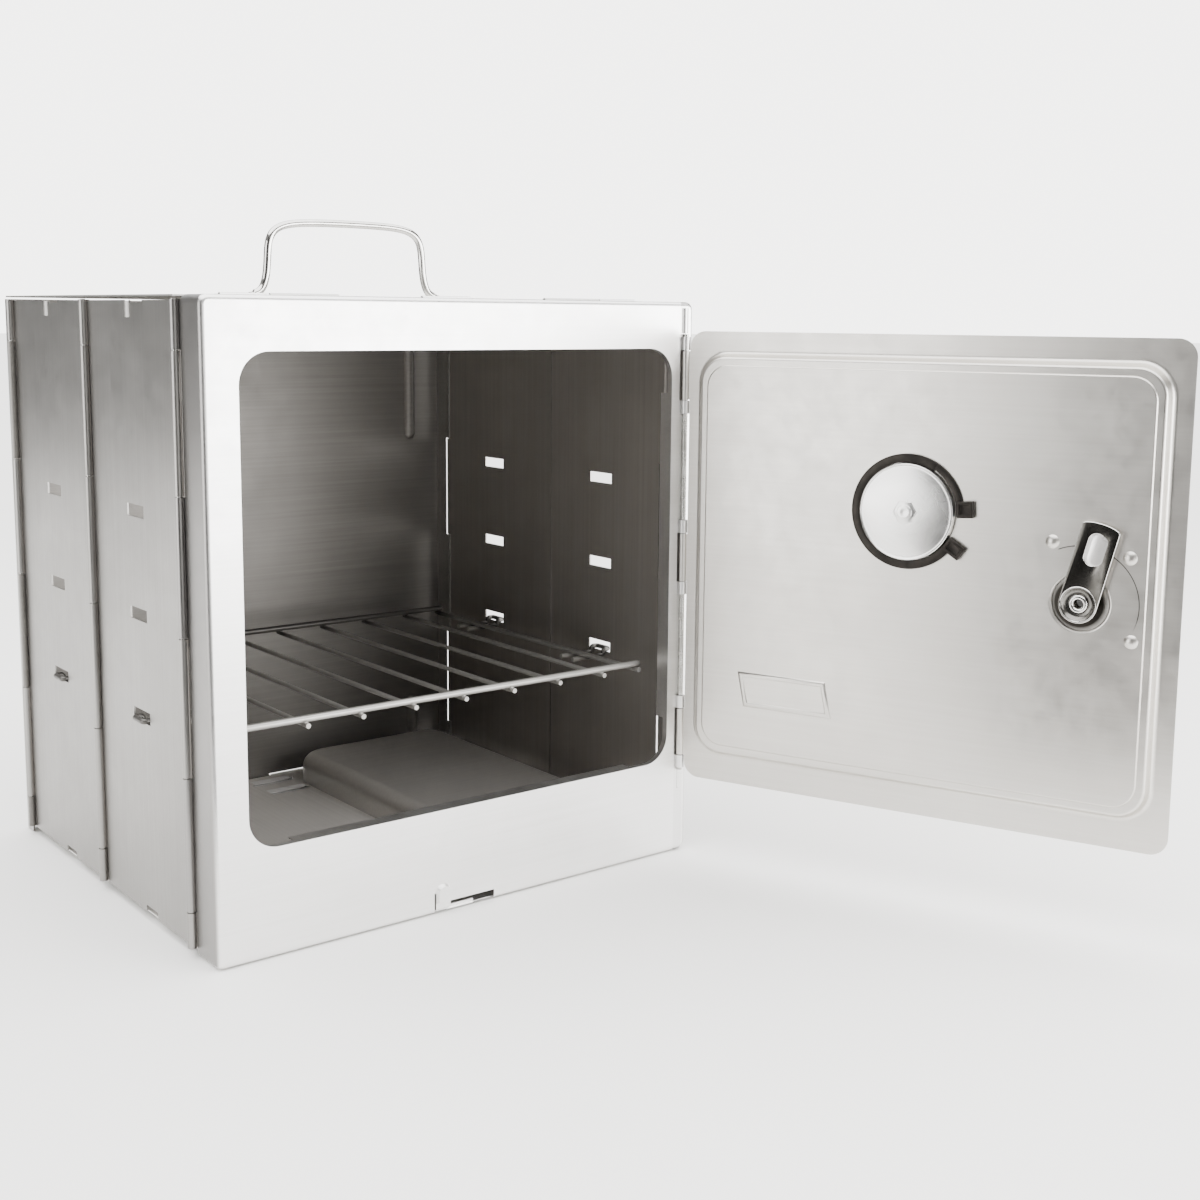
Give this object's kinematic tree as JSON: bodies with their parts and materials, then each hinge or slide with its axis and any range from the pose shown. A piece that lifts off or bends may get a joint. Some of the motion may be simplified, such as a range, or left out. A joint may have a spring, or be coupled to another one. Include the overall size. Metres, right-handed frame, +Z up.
{
  "type": "folding camp oven",
  "caption": "Folding sheet steel camp oven with a hinged front door, door thermometer, turn latch, folding slotted sides, hinged floor and top, wire rack and a carry handle.",
  "frame": {"origin": "middle of the front frame's underside: midway between the left and right sides, 11 mm behind the front face, on the plane that the oven stands on", "axes": "+X to the right seen from the front, +Y from the front to the back, +Z up"},
  "size_m": [0.3764, 0.5044, 0.3472],
  "materials": {
    "sheet": "satin rolled sheet steel",
    "door_sheet": "satin pressed sheet steel",
    "pins": "drawn steel wire",
    "wire": "bright plated wire",
    "bright": "bright plated steel",
    "clamp": "dark blued spring steel",
    "dial": "matt white dial plate",
    "pointer": "red painted needle",
    "glass": "clear flat glass"
  },
  "bodies": {
    "front_frame": {"front_frame": "sheet", "floor_keeper": "sheet", "front_side_pins": "pins", "door_pin": "pins", "top_pin": "pins"},
    "door": {"door_panel": "door_sheet", "thermo_case": "bright", "thermo_clamp": "clamp", "thermo_hub": "bright", "thermo_bezel": "bright", "thermo_glass": "glass", "thermo_dial": "dial"},
    "pointer": {"thermo_pointer": "pointer"},
    "latch": {"latch_arm": "bright", "latch_shaft": "bright", "latch_rivet": "bright", "latch_lever": "bright"},
    "left_front": {"left_front_panel": "sheet", "left_front_rest": "wire", "left_mid_pin": "pins"},
    "left_rear": {"left_rear_panel": "sheet", "left_rear_rest": "wire"},
    "right_front": {"right_front_panel": "sheet", "right_front_rest": "wire", "right_mid_pin": "pins"},
    "right_rear": {"right_rear_panel": "sheet", "right_rear_rest": "wire"},
    "back": {"back_pan": "sheet", "rear_side_pins": "pins", "floor_pin": "pins"},
    "top": {"top_panel": "sheet", "carry_handle": "wire"},
    "floor": {"floor_panel": "sheet", "floor_left_sheet": "sheet", "burner_cover": "sheet"},
    "rack": {"rack_frame": "wire", "rack_rods": "wire"}
  },
  "joints": [
    {"name": "door_hinge", "type": "hinge", "parent": "front_frame", "child": "door", "pos_m": [0.135, -0.01225, 0.167], "axis": [0, 0, 1], "range_deg": [-111.6, 65]},
    {"name": "latch_turn", "type": "hinge", "parent": "door", "child": "latch", "pos_m": [0.21462, -0.21336, 0.164], "axis": [0.9298, 0.3681, 0], "range_deg": [-17.6, 77.4]},
    {"name": "pointer_turn", "type": "hinge", "parent": "door", "child": "pointer", "pos_m": [0.1826, -0.13247, 0.202], "axis": [-0.9298, -0.3681, 0], "range_deg": [0, 240]},
    {"name": "fold", "type": "hinge", "parent": "front_frame", "child": "left_front", "pos_m": [-0.14238, 0.0122, 0.1535], "axis": [0, 0, -1], "range_deg": [0, 74]},
    {"name": "left_mid", "type": "hinge", "parent": "left_front", "child": "left_rear", "pos_m": [-0.14238, 0.1227, 0.1535], "axis": [0, 0, 1], "range_deg": [0, 148]},
    {"name": "left_back", "type": "hinge", "parent": "left_rear", "child": "back", "pos_m": [-0.14238, 0.2332, 0.1535], "axis": [0, 0, -1], "range_deg": [0, 74]},
    {"name": "right_side", "type": "hinge", "parent": "front_frame", "child": "right_front", "pos_m": [0.14238, 0.0122, 0.1535], "axis": [0, 0, 1], "range_deg": [0, 74]},
    {"name": "right_mid", "type": "hinge", "parent": "right_front", "child": "right_rear", "pos_m": [0.14238, 0.1227, 0.1535], "axis": [0, 0, -1], "range_deg": [0, 148]},
    {"name": "floor_swing", "type": "hinge", "parent": "back", "child": "floor", "pos_m": [0, 0.2466, 0.002], "axis": [1, 0, 0], "range_deg": [0, 269.4]},
    {"name": "rack_out", "type": "slide", "parent": "front_frame", "child": "rack", "axis": [0, -1, 0], "range_m": [0, 0.84]},
    {"name": "top_lift", "type": "hinge", "parent": "front_frame", "child": "top", "pos_m": [0, 0.0146, 0.3046], "axis": [1, 0, 0], "range_deg": [0, 100]}
  ],
  "couplings": [
    {"joint": "left_mid", "follows": "fold", "ratio": 2},
    {"joint": "left_back", "follows": "fold", "ratio": 1},
    {"joint": "right_side", "follows": "fold", "ratio": 1},
    {"joint": "right_mid", "follows": "fold", "ratio": 2},
    {"joint": "floor_swing", "follows": "fold", "ratio": 3.64},
    {"joint": "rack_out", "follows": "fold", "m_per_rad": 0.65}
  ]
}
